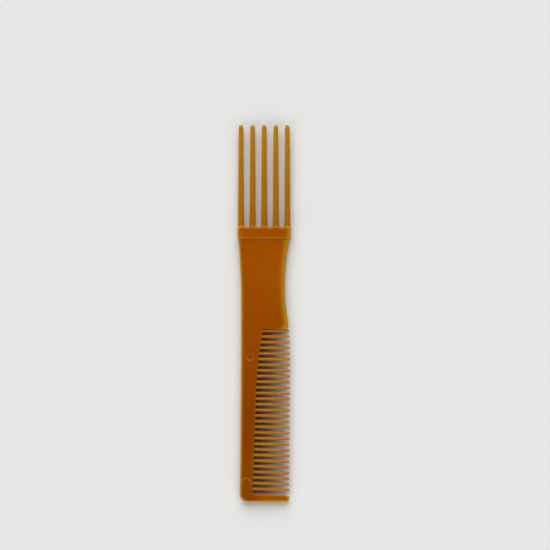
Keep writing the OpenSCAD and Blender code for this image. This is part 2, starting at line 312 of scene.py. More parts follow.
def arc(centre, radius, start, end, kind, reach):
    """Points of a quarter turn between two angles in degrees, each with its kind of edge and reach."""
    turns = [math.radians(start + (end - start) * i / ARC_STEPS) for i in range(ARC_STEPS + 1)]
    return around(centre, radius, turns, kind, reach)


def changing(points, first, last):
    """The same points of an outline, with a reach that changes evenly along them."""
    reaches = np.linspace(first, last, len(points))
    return [(x, y, kind, reach) for (x, y, kind, _), reach in zip(points, reaches)]


def stretch(x_of, y_start, y_end, spacing, kind, reach):
    """Points along a side that is given as x for each y."""
    steps = max(1, round(abs(y_end - y_start) / spacing))
    ys = [y_start + (y_end - y_start) * i / steps for i in range(steps + 1)]
    return [(x_of(y), y, kind, reach) for y in ys]


# Kinds of edge of the comb's back: outer, inner beside the teeth, and tucked into the collar
OUTER, INNER, TUCKED = range(3)
SPACING = 0.8 * MM
TUCK = 1.0 * MM
SHOULDER_CORNER = 0.25 * MM


def back_outline(back):
    """Outline of the handle, spine and guard, from the collar down the left side and round to the right."""
    top = COLLAR_LOW_Y + TUCK
    tip = GUARD_TIP_X
    corner, tip_corner, inner_corner = back.guard_corner, back.guard_tip_corner, back.guard_inner_corner
    foot_x = left_x(back, FOOT_Y + corner)
    edge, nose, bevel, slope = back.edge_reach, back.guard_nose, back.inner_bevel, back.root_slope
    line = stretch(lambda y: left_x(back, y), top, FOOT_Y + corner, SPACING, OUTER, edge)
    line += arc((foot_x + corner, FOOT_Y + corner), corner, 180, 270, OUTER, edge)
    xs = np.arange(foot_x + corner + SPACING, tip - tip_corner, SPACING)
    line += [(x, FOOT_Y, OUTER, edge) for x in xs]
    line += arc((tip - tip_corner, FOOT_Y + tip_corner), tip_corner, 270, 360, OUTER, nose)
    inner_y = guard_inner_y(back, tip - inner_corner) - inner_corner
    line += arc((tip - inner_corner, inner_y), inner_corner, 0, 90, OUTER, nose)
    gullet = back.gullet
    gullet_x = root_x(back, GUARD_TOP_Y + gullet) + gullet
    xs = np.arange(tip - inner_corner - SPACING / 2, gullet_x + SPACING / 2, -SPACING / 2)
    line += [(x, guard_inner_y(back, x), INNER, bevel) for x in xs]
    fillet = arc((gullet_x, guard_inner_y(back, gullet_x) + gullet), gullet, 270, 180, INNER, bevel)
    line += changing(fillet, bevel, slope)
    small = SHOULDER_CORNER
    roots = stretch(
        lambda y: root_x(back, y), fillet[-1][1] + SPACING, SHOULDER_Y - small, SPACING, INNER, slope
    )
    line += roots
    fillet = arc((roots[-1][0] + small, SHOULDER_Y - small), small, 180, 90, INNER, bevel)
    line += changing(fillet, slope, bevel)[1:]
    hip = back.hip_corner
    hip_x = right_x(back, SHOULDER_Y + hip)
    xs = np.arange(fillet[-1][0] + SPACING / 2, hip_x - hip, SPACING / 2)
    line += [(x, SHOULDER_Y, INNER, bevel) for x in xs]
    line += arc((hip_x - hip, SHOULDER_Y + hip), hip, 270, 360, OUTER, edge)
    line += stretch(lambda y: right_x(back, y), SHOULDER_Y + hip + SPACING, top, SPACING, OUTER, edge)
    right = line[-1][0]
    xs = np.arange(right - SPACING, line[0][0] + SPACING / 2, -SPACING * 2)
    line += [(x, top, TUCKED, edge) for x in xs]
    return line


def nearest(points, starts, ends, reaches_start, reaches_end):
    """Distance from each point to the nearest of some straight lengths, and the reach there."""
    best = np.full(len(points), np.inf)
    reach = np.zeros(len(points))
    for start, end, from_reach, to_reach in zip(starts, ends, reaches_start, reaches_end):
        along = end - start
        share = np.clip(((points - start) @ along) / max(along @ along, TINY**2), 0, 1)
        gap = np.linalg.norm(points - start - share[:, None] * along, axis=1)
        closer = gap < best
        best[closer] = gap[closer]
        reach[closer] = (from_reach + (to_reach - from_reach) * share)[closer]
    return best, np.maximum(reach, TINY)


def edge_distances(points, line):
    """Distance and reach from the outer edges, then from the inner ones."""
    places = np.array([p[:2] for p in line])
    kinds = np.array([p[2] for p in line])
    reaches = np.array([p[3] for p in line])
    following = np.roll(np.arange(len(line)), -1)
    found = []
    for kind in (OUTER, INNER):
        own = (kinds == kind) & (kinds[following] == kind)
        found += nearest(
            points, places[own], places[following][own], reaches[own], reaches[following][own]
        )
    return found


def soft_min(a, b, blend):
    """The smaller of two heights, with the crease between them rounded."""
    share = np.clip(blend - np.abs(a - b), 0, None) / blend
    return np.minimum(a, b) - share**2 * blend / 4


def eased(share):
    """Share from 0 to 1 with soft ends."""
    share = np.clip(share, 0, 1)
    return share * share * (3 - 2 * share)


def mark_places(back):
    """Middles of the two round moulding marks on the spine."""
    ys = (SHOULDER_Y - back.mark_head, FOOT_Y + back.mark_foot)
    return [((left_x(back, y) + root_x(back, y)) / 2, y) for y in ys]


# How the back's plastic lightens: at its rim, on its slopes, partly as thinner plastic and partly as
# painted light, and towards the guard's tip
RIM_CHANGE, RIM_GAIN = 4 * MM, 1.3
SLOPE_THIN_AND_LIGHT, TIP_THIN = 1.3, 0.3

# The low amber, a painted shade towards the foot, starts above the shoulder, is full further down and soon
# leaves the guard
LOW_ABOVE, LOW_LENGTH = 30 * MM, 80 * MM
GUARD_FADE, GUARD_LESS = 4, 1.1


def back_heights(back, points, line):
    """Half thickness of the comb's back at each point, how thin it looks, with painted light on its slopes,
    and its share of low amber, a painted shade towards the foot.
    """
    outer, outer_reach, inner, inner_reach = edge_distances(points, line)
    knee = root_x(back, GUARD_TOP_Y)
    taper = np.clip((points[:, 0] - knee) / (GUARD_TIP_X - knee), 0, 1)
    on_guard = points[:, 1] < GUARD_TOP_Y + back.gullet
    full = np.where(on_guard, BODY_T + (back.guard_tip_t - BODY_T) * taper, BODY_T) / 2
    land = back.parting_land / 2
    bulge = np.sqrt(1 - (1 - np.clip(outer / outer_reach, 0, 1)) ** 2)
    rounded = land + (full - land) * bulge
    drop = (BODY_T - back.root_t) / 2
    slope = BODY_T / 2 - drop * (1 - inner / inner_reach)
    lip = back.lip * (1 - np.sqrt(1 - (1 - np.clip(inner / back.lip, 0, 1)) ** 2))
    half = soft_min(rounded, slope - lip, CREASE)
    on_right = eased(points[:, 0] / RIM_CHANGE) * (points[:, 1] > SHOULDER_Y)
    width = back.rim_width + (back.rim_right - back.rim_width) * on_right
    rim = eased(RIM_GAIN * (1 - outer / width))
    sunk = np.clip(1 - slope / (BODY_T / 2), 0, 1)
    # The slopes beside the teeth are lighter partly as thinner plastic and partly as painted light
    thin = rim + SLOPE_THIN_AND_LIGHT * sunk + TIP_THIN * (1 - full / (BODY_T / 2))
    # The low share darkens the back towards the foot as painted shade
    low = np.clip((SHOULDER_Y + LOW_ABOVE - points[:, 1]) / LOW_LENGTH, 0, 1)
    low *= 1 - GUARD_LESS * eased(GUARD_FADE * taper) * on_guard
    return np.maximum(half, land), np.clip(thin, 0, 1), low


# Rows of points: shares of an outer edge's reach, shares of the lip, and steps from a slope's end
OUTER_ROWS = [1 - math.sin(math.radians(turn)) for turn in range(80, -1, -10)] + [1.25]
LIP_ROWS = (0.03, 0.13, 0.5, 1.0)
SLOPE_ROWS = [step * MM for step in (-0.3, -0.1, 0.1, 0.3, 0.8)]

# Rings of points: shares of a mark's radius on its floor, and shares of its wall's width
FLOOR_RINGS, FLOOR_SIDES = (0.5, 0.8), 24
WALL_RINGS, WALL_SIDES = (-0.5, -0.3, 0, 0.3, 0.5, 1.1), 48

# Net of points: its spacing, the share of it between rows, and its distance from edges and marks
NET, NET_ROW = 2.4 * MM, 0.87
NET_OFF_EDGE, NET_OFF_MARK = 3.2 * MM, 1.2 * MM


def row_steps(back, kind, reach):
    """Distances in from an edge at which rows of points run."""
    if kind == OUTER:
        return [reach * share for share in OUTER_ROWS]
    if kind == INNER:
        return [back.lip * share for share in LIP_ROWS] + [reach + step for step in SLOPE_ROWS]
    return []


def circle(centre, radius, count):
    """Points evenly around a circle, marked as lying on a ring."""
    return around(centre, radius, [math.tau * i / count for i in range(count)], 0.0)


def back_points(back, line):
    """Points inside the outline: rows along its edges, rings around the marks, and a net between.

    The third number of a point is its row's distance from the edge, 0 on a ring and -1 in the net.
    """
    places = np.array([p[:2] for p in line])
    following, previous = np.roll(places, -1, axis=0), np.roll(places, 1, axis=0)
    tangent = following - previous
    inward = np.stack([-tangent[:, 1], tangent[:, 0]], axis=1)
    inward /= np.linalg.norm(inward, axis=1)[:, None]
    steps = [row_steps(back, kind, reach) for _, _, kind, reach in line]
    points, links = [], []
    for row in range(len(OUTER_ROWS)):
        last = None
        for place, way, own in zip(places, inward, steps):
            if row >= len(own):
                last = None
                continue
            x, y = place + way * own[row]
            points.append((x, y, own[row]))
            if last is not None:
                links.append((last, len(points) - 1))
            last = len(points) - 1
    for centre in mark_places(back):
        points += circle(centre, 0.0, 1)
        for share in FLOOR_RINGS:
            points += circle(centre, back.mark_r * share, FLOOR_SIDES)
        for share in WALL_RINGS:
            points += circle(centre, back.mark_r + back.mark_wall * share, WALL_SIDES)
    for row, y in enumerate(np.arange(FOOT_Y, COLLAR_LOW_Y + TUCK, NET * NET_ROW)):
        for x in np.arange(places[:, 0].min() + (row % 2) * NET / 2, places[:, 0].max(), NET):
            points.append((x, y, -1.0))
    return np.array(points), links


def inside(points, polygon):
    """Whether each point lies within a polygon."""
    x, y = points[:, 0], points[:, 1]
    odd = np.zeros(len(points), bool)
    for (x1, y1), (x2, y2) in zip(polygon, np.roll(polygon, -1, axis=0)):
        if y1 == y2:
            continue
        crosses = (y1 > y) != (y2 > y)
        odd ^= crosses & (x < (x2 - x1) * (y - y1) / (y2 - y1) + x1)
    return odd


# Points are dropped on the outline, and where another edge is nearer than their own row's
LEAST_GAP, OWN_EDGE = 0.01 * MM, 0.985

# The triangulation works in millimetres and keeps what is inside the outline
PER_METRE, INSIDE_ONLY, MERGE_GAP = 1000.0, 1, 1e-6


def back_mesh(back):
    """Closed mesh of the handle, the spine and the end guard in one skin."""
    line = back_outline(back)
    outline = np.array([p[:2] for p in line])
    raw, links = back_points(back, line)
    flat, step = raw[:, :2], raw[:, 2]
    no_reach = np.zeros(len(line))
    clear, _ = nearest(flat, outline, np.roll(outline, -1, axis=0), no_reach, no_reach)
    keep = inside(flat, outline) & (clear > LEAST_GAP)
    keep &= (step <= 0) | (clear > step * OWN_EDGE)
    keep &= (step >= 0) | (clear > NET_OFF_EDGE)
    for centre in mark_places(back):
        near = np.linalg.norm(flat - centre, axis=1) < back.mark_r + NET_OFF_MARK
        keep &= ~(near & (step < 0))
    number = np.cumsum(keep) - 1 + len(line)
    edges = [(int(number[a]), int(number[b])) for a, b in links if keep[a] and keep[b]]
    verts = [Vector(p) for p in np.vstack([outline, flat[keep]]) * PER_METRE]
    made = delaunay_2d_cdt(verts, edges, [list(range(len(line)))], INSIDE_ONLY, MERGE_GAP)
    net = np.array([tuple(v) for v in made[0]]) / PER_METRE
    half, thin, low = back_heights(back, net, line)
    over, thin_and_mark_highlights = half.copy(), thin.copy()
    # Painted highlights on the marks' walls: the first mark's is brightest towards the foot, and the
    # second's towards the prongs
    for centre, highlight_side in zip(mark_places(back), (-1, 1)):
        away = net - centre
        gap = np.linalg.norm(away, axis=1) - back.mark_r
        over -= back.mark_depth * eased(0.5 - gap / back.mark_wall)
        wall = np.clip(1 - np.abs(gap) / back.mark_wall, 0, 1)
        thin_and_mark_highlights += wall * (0.5 + 0.5 * highlight_side * away[:, 1] / back.mark_r)
    count = len(net)
    faces, once = [], {}
    for a, b, c in made[2]:
        ab, ac = net[b] - net[a], net[c] - net[a]
        if ab[0] * ac[1] - ab[1] * ac[0] < 0:
            b, c = c, b
        faces += [(a, b, c), (a + count, c + count, b + count)]
        for start, end in ((a, b), (b, c), (c, a)):
            if not once.pop((end, start), False):
                once[(start, end)] = True
    faces += [(end, start, start + count, end + count) for start, end in once]
    tops = np.column_stack([net, MID_Z + over])
    unders = np.column_stack([net, MID_Z - half])
    mesh = bpy.data.meshes.new("comb_back")
    mesh.from_pydata(np.vstack([tops, unders]).tolist(), [], faces)
    mesh.attributes.new("thin", "FLOAT", "POINT").data.foreach_set("value", np.append(thin_and_mark_highlights, thin))
    mesh.attributes.new("low", "FLOAT", "POINT").data.foreach_set("value", np.tile(low, 2))
    return mesh


def prong_middles(prongs):
    """Places of the prongs' middles across the comb."""
    outer = (COLLAR_W - prongs.root_w) / 2 - prongs.inset
    return np.linspace(-outer, outer, len(PRONGS))


# Steps of the collar's mesh around a corner and from one prong to the next
CORNER_STEPS, PITCH_STEPS = 6, 8

# Rows around the collar's ridge, in shares of a crease, and where and how far the scallops have faded
RIDGE_ROWS = (3.0, 1.0, 0.4, 0.0, -0.4, -1.0, -3.0)
FADE_DEPTH, FADE_SHARE = 1.6, 0.6

# How the collar lightens: painted highlights at its ends, brighter at the right end, along its top edge and
# around its ridge, and below the ridge partly as thinner plastic and partly as painted light
ENDS_REACH, TOP_REACH, RIDGE_REACH = 3.2 * MM, 1.6 * MM, 0.6 * MM
ENDS_HIGHLIGHT, TOP_HIGHLIGHT, RIDGE_HIGHLIGHT, BELOW_THIN_AND_LIGHT = 1.3, 0.9, 0.3, 0.3
LEFT_END_HIGHLIGHT = 0.6


def rounded_rect(half_w, half_t, radius, inner_xs):
    """Ring of points around a rectangle with round corners, with given places along its long sides."""
    ring = []
    for quarter, (side_x, side_z) in enumerate(((1, 1), (-1, 1), (-1, -1), (1, -1))):
        for step in range(CORNER_STEPS + 1):
            turn = math.radians(90 * quarter + 90 / CORNER_STEPS * step)
            x = side_x * (half_w - radius) + radius * math.cos(turn)
            z = side_z * (half_t - radius) + radius * math.sin(turn)
            ring.append((x, z))
        if side_x == side_z:
            ring += [(-side_x * x, side_z * half_t) for x in inner_xs]
    return ring


def collar_rows(collar):
    """Rows of the collar from the prongs down: y, step in at the ends, step in on the faces, scallop."""
    rows = []
    for turn in np.radians(range(0, 91, 18)):
        step = collar.edge_r * (1 - math.sin(turn))
        rows.append((COLLAR_TOP_Y - collar.edge_r * (1 - math.cos(turn)), step / 2, step, 1.0))
    rows.append((COLLAR_TOP_Y - FADE_DEPTH * collar.edge_r, 0.0, 0.0, FADE_SHARE))
    fall = collar.slope_drop / collar.slope
    for share in RIDGE_ROWS:
        soft = max(0.0, 1 - abs(share)) / 4
        y = COLLAR_LOW_Y + collar.slope + share * CREASE
        rows.append((y, 0.0, fall * CREASE * (max(0.0, -share) + soft), 0.0))
    for turn in np.radians(range(90, -1, -30)):
        step = collar.low_r * (1 - math.sin(turn))
        up = collar.low_r * (1 - math.cos(turn))
        rows.append((COLLAR_LOW_Y + up, step, collar.slope_drop - fall * up + step, 0.0))
    return rows


def collar_highlights(x, y, ridge):
    """How light the collar looks at a place, from 0 to 1, with painted highlights at its ends, along its
    top edge and at its ridge.
    """
    ends = max(0.0, 1 - (COLLAR_W / 2 - abs(x)) / ENDS_REACH) * (1.0 if x > 0 else LEFT_END_HIGHLIGHT)
    top = max(0.0, 1 - (COLLAR_TOP_Y - y) / TOP_REACH)
    lit_crest = max(0.0, 1 - abs(y - ridge) / RIDGE_REACH)
    below = 1.0 if y < ridge else 0.0
    return min(1.0, ENDS_HIGHLIGHT * ends + TOP_HIGHLIGHT * top + RIDGE_HIGHLIGHT * lit_crest + BELOW_THIN_AND_LIGHT * below)


def collar_mesh(collar, middles):
    """Closed mesh of the collar, lofted along the comb. Its top edge is scalloped between the prongs."""
    reach = (middles[1] - middles[0]) / 2
    inner_xs = np.linspace(middles[0], middles[-1], PITCH_STEPS * (len(middles) - 1) + 1)
    ridge = COLLAR_LOW_Y + collar.slope
    rows = collar_rows(collar)
    verts, faces, thin = [], [], []
    for y, end_step, face_step, share in rows:
        half_w, half_t = COLLAR_W / 2 - end_step, COLLAR_T / 2 - face_step
        for x, z in rounded_rect(half_w, half_t, collar.end_r, inner_xs):
            away = min(abs(x - middle) for middle in middles) / reach
            verts.append((x, y + share * collar.scallop * (1 - away) ** 2, MID_Z + z))
            # The collar's thin share holds its painted highlights
            thin.append(collar_highlights(x, y, ridge))
    sides = len(verts) // len(rows)
    for row in range(len(rows) - 1):
        for i in range(sides):
            a, b = row * sides + i, row * sides + (i + 1) % sides
            faces.append((a, b, b + sides, a + sides))
    for first in (0, len(verts) - sides):
        for i in range(sides // 2 - 1):
            faces.append((first + i, first + i + 1, first + sides - 2 - i, first + sides - 1 - i))
    mesh = bpy.data.meshes.new("collar_band")
    mesh.from_pydata(verts, [], faces)
    mesh.attributes.new("thin", "FLOAT", "POINT").data.foreach_set("value", thin)
    work = bmesh.new()
    work.from_mesh(mesh)
    bmesh.ops.recalc_face_normals(work, faces=work.faces)
    work.to_mesh(mesh)
    work.free()
    return mesh


# Node trees


class Field:
    """A number inside a node tree. Arithmetic on fields adds the Math nodes that work it out."""

    def __init__(self, tree, socket):
        self.tree = tree
        self.socket = socket

    def math(self, operation, *others, clamp=False):
        """Field that a Math node makes from this one and others."""
        node = self.tree.nodes.new("ShaderNodeMath")
        node.operation = operation
        node.use_clamp = clamp
        for socket, value in zip(node.inputs, (self, *others)):
            join(self.tree, socket, value)
        return Field(self.tree, node.outputs[0])

    def __add__(self, other):
        return self.math("ADD", other)

    def __sub__(self, other):
        return self.math("SUBTRACT", other)

    def __rsub__(self, other):
        return self.math("MULTIPLY_ADD", -1.0, other)

    def __mul__(self, other):
        return self.math("MULTIPLY", other)

    def __truediv__(self, other):
        return self.math("DIVIDE", other)

    def __pow__(self, other):
        return self.math("POWER", other)

    def clamped(self):
        """The number held between 0 and 1."""
        return self.math("ADD", 0.0, clamp=True)


def join(tree, socket, value):
    """Gives a socket a link or a plain value."""
    if isinstance(value, Field):
        tree.links.new(value.socket, socket)
    elif isinstance(value, bpy.types.NodeSocket):
        tree.links.new(value, socket)
    else:
        socket.default_value = value


def add_node(tree, kind, settings=(), **inputs):
    """New node with its settings, and its inputs named with underscores for spaces."""
    node = tree.nodes.new(kind)
    for name, value in dict(settings).items():
        setattr(node, name, value)
    for name, value in inputs.items():
        join(tree, node.inputs[name.replace("_", " ")], value)
    return node


TINE_INPUTS = {
    "Root Width": 1.0 * MM,
    "Tip Width": 1.0 * MM,
    "Root Thickness": 1.0 * MM,
    "Tip Thickness": 1.0 * MM,
    "Nose Length": 1.0 * MM,
    "Fillet Radius": 1.0 * MM,
    "Face Fillet": 0.0,
    "Sunk Length": 0.5 * MM,
    "Section Power": 2.5,
    "Land Share": 0.22,
    "Thin Root": 0.0,
    "Thin Tip": 0.5,
    "Side Light And Shade": 0.3,
}
FILLET_RINGS, SHAFT_RINGS, NOSE_RINGS = 4, 6, 5
SIDES_POWER = 3.0


def tine_tree(name, sides):
    """Geometry nodes that grow one tapered tine on each loose edge, from its first end to its second."""
    tree = bpy.data.node_groups.new(name, "GeometryNodeTree")
    tree.is_modifier = True
    panel = tree.interface
    panel.new_socket("Geometry", in_out="INPUT", socket_type="NodeSocketGeometry")
    panel.new_socket("Geometry", in_out="OUTPUT", socket_type="NodeSocketGeometry")
    for label, number in TINE_INPUTS.items():
        socket = panel.new_socket(label, in_out="INPUT", socket_type="NodeSocketFloat")
        socket.default_value = number
    panel.new_socket("Plastic", in_out="INPUT", socket_type="NodeSocketMaterial")
    given = tree.nodes.new("NodeGroupInput")
    value = {label: Field(tree, given.outputs[label]) for label in TINE_INPUTS}

    def store(shape, label, number, kind="FLOAT", domain="POINT"):
        """Geometry with something stored on it under a name."""
        node = add_node(
            tree, "GeometryNodeStoreNamedAttribute", {"data_type": kind, "domain": domain},
            Geometry=shape, Name=label, Value=number,
        )
        return node.outputs[0]

    def read(label, kind="FLOAT"):
        """Named attribute of the points."""
        node = add_node(tree, "GeometryNodeInputNamedAttribute", {"data_type": kind}, Name=label)
        return Field(tree, node.outputs["Attribute"])

    def parts(label):
        """The three numbers of a named place."""
        node = add_node(tree, "ShaderNodeSeparateXYZ", Vector=read(label, "FLOAT_VECTOR"))
        return [Field(tree, socket) for socket in node.outputs]

    # Each edge leaves its two ends on a point of its own
    ends = tree.nodes.new("GeometryNodeInputMeshEdgeVertices")
    shape = given.outputs["Geometry"]
    for label, place in (("root", "Position 1"), ("tip", "Position 2")):
        shape = store(shape, label, ends.outputs[place], "FLOAT_VECTOR", "EDGE")
    points = add_node(tree, "GeometryNodeMeshToPoints", {"mode": "EDGES"}, Mesh=shape)

    # A plain tube gives every tine its rings, which are numbered from the root
    rings = 1 + FILLET_RINGS + SHAFT_RINGS + NOSE_RINGS
    tube = add_node(
        tree, "GeometryNodeMeshCylinder", {"fill_type": "NGON"}, Vertices=sides, Side_Segments=rings
    )
    index = Field(tree, tree.nodes.new("GeometryNodeInputIndex").outputs[0])
    shape = tube.outputs["Mesh"]
    shape = store(shape, "ring", (index / sides).math("FLOOR"))
    shape = store(shape, "turn", index.math("MODULO", sides))
    tubes = add_node(tree, "GeometryNodeInstanceOnPoints", Points=points.outputs[0], Instance=shape)
    real = add_node(tree, "GeometryNodeRealizeInstances", Geometry=tubes.outputs[0])

    # Direction and length of the tine
    start_x, start_y, start_z = parts("root")
    end_x, end_y, _ = parts("tip")
    run_x, run_y = end_x - start_x, end_y - start_y
    length = (run_x * run_x + run_y * run_y).math("SQRT")
    along_x, along_y = run_x / length, run_y / length

    # Distance of a ring from the root: a sunk start, the fillet, the shaft and the nose in turn
    ring = read("ring")
    quarter = math.pi / 2
    sunk = ring.clamped()
    filleted = ((ring - 1) / FILLET_RINGS).clamped()
    shafted = ((ring - 1 - FILLET_RINGS) / SHAFT_RINGS).clamped()
    nosed = ((ring - 1 - FILLET_RINGS - SHAFT_RINGS) / NOSE_RINGS).clamped()
    fillet, nose = value["Fillet Radius"], value["Nose Length"]
    bow = (nosed * quarter).math("SINE")
    distance = (
        (sunk - 1) * value["Sunk Length"]
        + fillet * (1 - (filleted * quarter).math("COSINE"))
        + shafted * (length - nose - fillet)
        + nose * bow
    )
    flared = 1 - (filleted * quarter).math("SINE")
    taper = (distance / (length - nose)).clamped()
    land = value["Land Share"]
    end_share = (1 - (1 - land * land) * bow * bow).math("SQRT")

    # Half sizes of the section there, wider at the fillets
    def mixed(start, end):
        """Size along the taper."""
        return value[start] + (value[end] - value[start]) * taper

    half_w = mixed("Root Width", "Tip Width") * end_share / 2
    half_t = mixed("Root Thickness", "Tip Thickness") * end_share / 2 + value["Face Fillet"] * flared
    low = half_w + fillet * flared * read("low_flare")
    high = half_w + fillet * flared * read("high_flare")

    # Point of the squared-off oval
    turn = read("turn") * (math.tau / sides)
    power = value["Section Power"] ** -1.0 * 2
    cosine, sine = turn.math("COSINE"), turn.math("SINE")
    across = cosine.math("SIGN") * cosine.math("ABSOLUTE") ** power
    above = sine.math("SIGN") * sine.math("ABSOLUTE") ** power
    side = (high - low) / 2 + (high + low) / 2 * across
    place = add_node(
        tree, "ShaderNodeCombineXYZ",
        X=start_x + along_x * distance - along_y * side,
        Y=start_y + along_y * distance + along_x * side,
        Z=start_z + half_t * above,
    )
    moved = add_node(tree, "GeometryNodeSetPosition", Geometry=real.outputs[0], Position=place.outputs[0])

    # How thin the plastic is, for its colour. The side value paints light on the sides where it is positive
    # and shade where it is negative
    side_light_and_shade = value["Side Light And Shade"] * across.math("ABSOLUTE") ** SIDES_POWER
    shape = store(moved.outputs[0], "thin", (mixed("Thin Root", "Thin Tip") + side_light_and_shade).clamped())
    whole = add_node(tree, "GeometryNodeRealizeInstances", Geometry=shape)
    dressed = add_node(
        tree, "GeometryNodeSetMaterial", Geometry=whole.outputs[0], Material=given.outputs["Plastic"]
    )
    add_node(tree, "NodeGroupOutput", Geometry=dressed.outputs[0])
    return tree


def grown(name, tree, centrelines, flares, values, material):
    """Plain mesh of the tines that a tree grows on centrelines, each from its root to its tip."""
    base = bpy.data.meshes.new(name + "_lines")
    verts = [end for line in centrelines for end in line]
    base.from_pydata(verts, [(2 * i, 2 * i + 1) for i in range(len(centrelines))], [])
    for label, side in (("low_flare", 0), ("high_flare", 1)):
        shares = [float(pair[side]) for pair in flares]
        base.attributes.new(label, "FLOAT", "EDGE").data.foreach_set("value", shares)
    holder = placed(name + "_lines", base)
    modifier = holder.modifiers.new("Tines", "NODES")
    modifier.node_group = tree
    inputs = {item.name: item.identifier for item in tree.interface.items_tree if item.in_out == "INPUT"}
    for label, value in values.items():
        modifier[inputs[label]] = value
    modifier[inputs["Plastic"]] = material
    ready = holder.evaluated_get(bpy.context.evaluated_depsgraph_get())
    mesh = bpy.data.meshes.new_from_object(ready)
    holder.modifiers.remove(modifier)
    bpy.data.objects.remove(holder)
    bpy.data.meshes.remove(base)
    for label in ("root", "tip", "ring", "turn", "low_flare", "high_flare"):
        if label in mesh.attributes:
            mesh.attributes.remove(mesh.attributes[label])
    mesh.name = name
    work = bmesh.new()
    work.from_mesh(mesh)
    if work.calc_volume(signed=True) < 0:
        bmesh.ops.reverse_faces(work, faces=work.faces)
    work.to_mesh(mesh)
    work.free()
    return mesh


# Plastic

# Middle and strength of the clouds and the streaks, and how strongly the thin share lightens the plastic,
# painted highlights and shade included
CLOUD_MIDDLE, CLOUD_STRENGTH = 0.48, 0.30
STREAK_MIDDLE, STREAK_STRENGTH = 0.5, 0.10
THIN_POWER, THIN_STRENGTH = 1.25, 0.9

# Middle of the handling marks, and their strength in the gloss and in the bump
FINE_MIDDLE, FINE_GLOSS, FINE_BUMP = 0.5, 0.08, 0.3


def amber_plastic(name, look, main, low=None, pale=None, gloss=0.18):
    """Translucent amber plastic. It is deep where the piece is thick and lightens where it is thin, and
    where highlights and shade are painted into the stored thin share.
    """
    material = bpy.data.materials.new(name)
    material.use_nodes = True
    tree = material.node_tree
    tree.nodes.clear()
    place = tree.nodes.new("ShaderNodeTexCoord").outputs["Object"]

    def noise(scale, detail, stretched=(1, 1, 1)):
        """Cloudy pattern on the object, stretched along its axes."""
        mapped = add_node(tree, "ShaderNodeMapping", Vector=place, Scale=stretched)
        made = add_node(
            tree, "ShaderNodeTexNoise", Vector=mapped.outputs[0], Scale=scale, Detail=detail
        )
        return Field(tree, made.outputs["Fac"])

    def stored(label):
        """Number stored on the mesh under a name."""
        node = add_node(tree, "ShaderNodeAttribute", {"attribute_name": label})
        return Field(tree, node.outputs["Fac"])

    def blend(share, first, second):
        """Mix of two colours."""
        mix = add_node(tree, "ShaderNodeMix", {"data_type": "RGBA"})
        join(tree, mix.inputs["Factor"], share)
        for socket, value in ((mix.inputs[6], first), (mix.inputs[7], second)):
            join(tree, socket, value if isinstance(value, bpy.types.NodeSocket) else (*value, 1.0))
        return mix.outputs[2]

    # Clouds where the plastic cooled unevenly, and streaks where it flowed along the comb
    clouds = noise(scale=70.0, detail=2.0, stretched=(1.0, 0.6, 1.0))
    streaks = noise(scale=260.0, detail=2.0, stretched=(1.0, 0.10, 1.0))
    # The stored thin share holds thinner plastic and, in places, painted highlights and painted shade
    thin = stored("thin")
    # The low amber darkens the back towards the foot as painted shade
    base = blend(stored("low"), main, low) if low else main
    varied = (clouds - CLOUD_MIDDLE) * CLOUD_STRENGTH + (streaks - STREAK_MIDDLE) * STREAK_STRENGTH
    depth = (thin**THIN_POWER * THIN_STRENGTH + varied).clamped()
    tone = blend(depth, base, tuple(pale or look.thin))

    # Fine handling marks in the gloss and a faint waviness left by the mould
    fine = noise(scale=900.0, detail=4.0, stretched=(1.0, 0.25, 1.0))
    relief = noise(scale=120.0, detail=1.0) + fine * FINE_BUMP
    bump = add_node(tree, "ShaderNodeBump", Strength=0.35, Distance=0.05 * MM, Height=relief)
    shader = add_node(
        tree, "ShaderNodeBsdfPrincipled",
        Base_Color=tone, Roughness=(fine - FINE_MIDDLE) * FINE_GLOSS + look.shine, IOR=1.5,
        Specular_IOR_Level=gloss, Specular_Tint=(*look.glint, 1.0), Normal=bump.outputs[0],
        Subsurface_Weight=look.soak, Subsurface_Radius=(1.0, 0.35, 0.06), Subsurface_Scale=3.5 * MM,
    )
    add_node(tree, "ShaderNodeOutputMaterial", Surface=shader.outputs[0])
    return material


# Operators


class MakeCombBack(bpy.types.Operator):
    """Make the handle, the spine and the end guard in one skin"""

    bl_idname = "comb.make_back"
    bl_label = "Handle, Spine and Guard"

    def execute(self, context):
        back, look = context.scene.comb_back, context.scene.comb_plastic
        plastic = amber_plastic("body_amber", look, tuple(look.deep), tuple(look.low), gloss=0.09)
        finished(
            "comb_back", back_mesh(back), plastic, "body_plastic", "handle", "spine", "end_guard"
        )
        return {"FINISHED"}


class MakeCollar(bpy.types.Operator):
    """Make the thick band that carries the prongs"""

    bl_idname = "comb.make_collar"
    bl_label = "Collar"

    def execute(self, context):
        scene, look = context.scene, context.scene.comb_plastic
        plastic = amber_plastic("collar_amber", look, tuple(look.collar))
        mesh = collar_mesh(scene.comb_collar, prong_middles(scene.comb_prongs))
        finished("collar_band", mesh, plastic, "collar_plastic", "collar")
        return {"FINISHED"}


